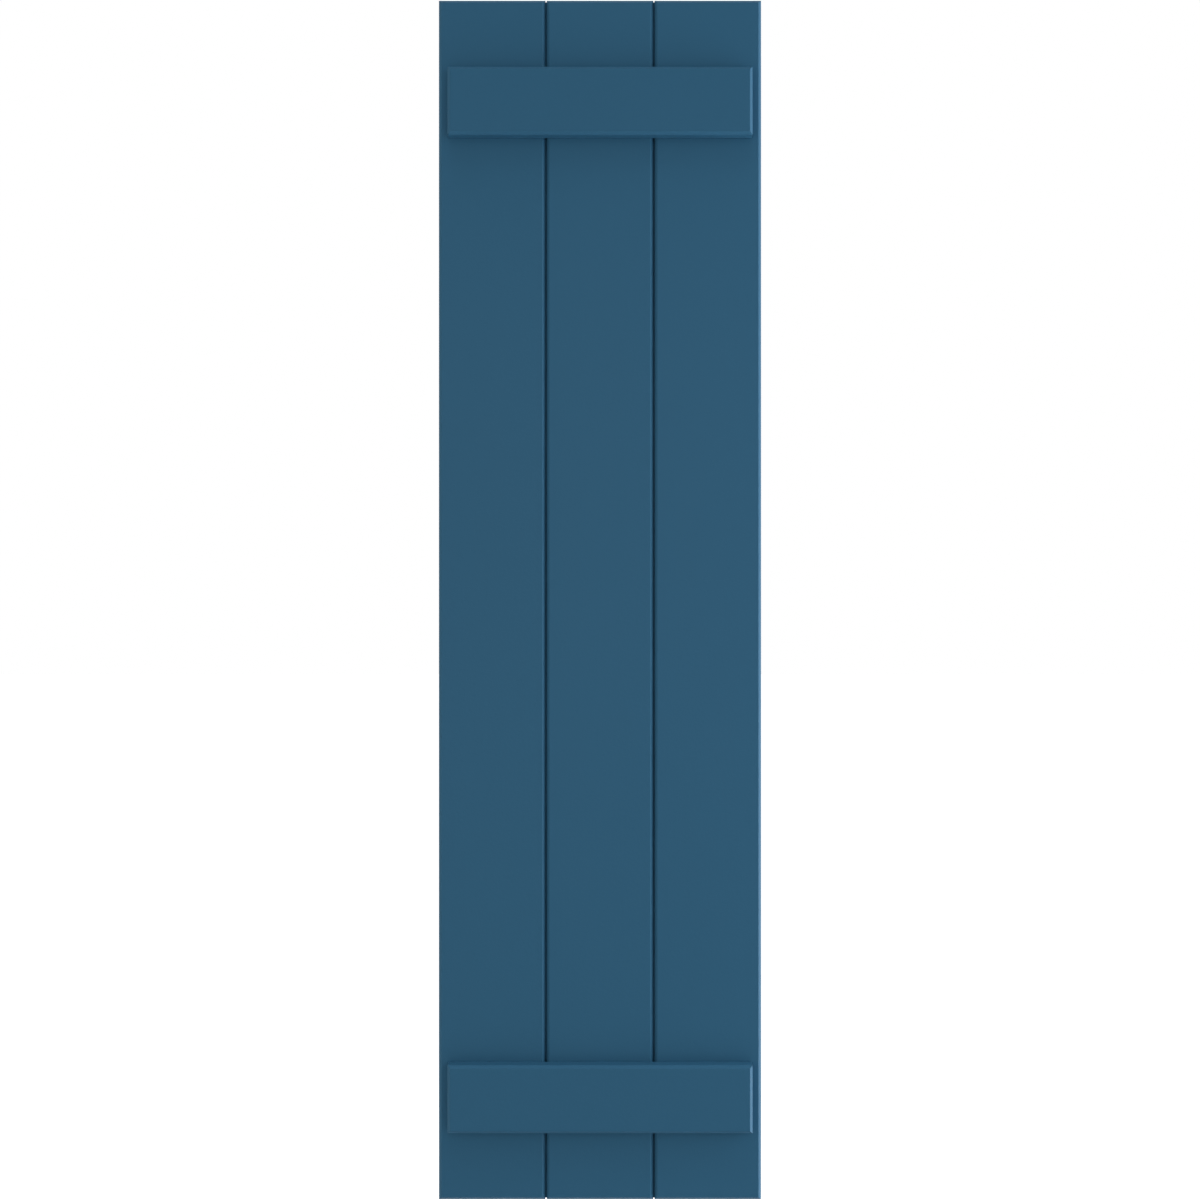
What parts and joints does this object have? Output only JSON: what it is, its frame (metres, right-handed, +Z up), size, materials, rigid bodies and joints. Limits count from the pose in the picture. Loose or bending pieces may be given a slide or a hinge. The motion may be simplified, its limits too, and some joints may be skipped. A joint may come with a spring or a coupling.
{
  "type": "board and batten shutter",
  "caption": "Tall exterior window shutter of upright V-jointed boards, joined by bevelled cross battens near the top and bottom, painted blue, with a flat back for fixing to a wall.",
  "frame": {"origin": "middle of the flat back face, which lies on the wall", "axes": "+X to the right of someone facing the shutter, +Y into the wall, +Z up along the boards"},
  "size_m": [0.273, 0.0318, 1.016],
  "materials": {
    "board_paint": "smooth satin blue paint on cellular PVC board",
    "batten_paint": "smooth satin blue paint on cellular PVC board",
    "screw_steel": "plated steel screw heads, made in the visual scene only"
  },
  "bodies": {
    "root": {"left_board": "board_paint", "middle_board": "board_paint", "right_board": "board_paint", "top_batten": "batten_paint", "bottom_batten": "batten_paint"}
  },
  "joints": []
}
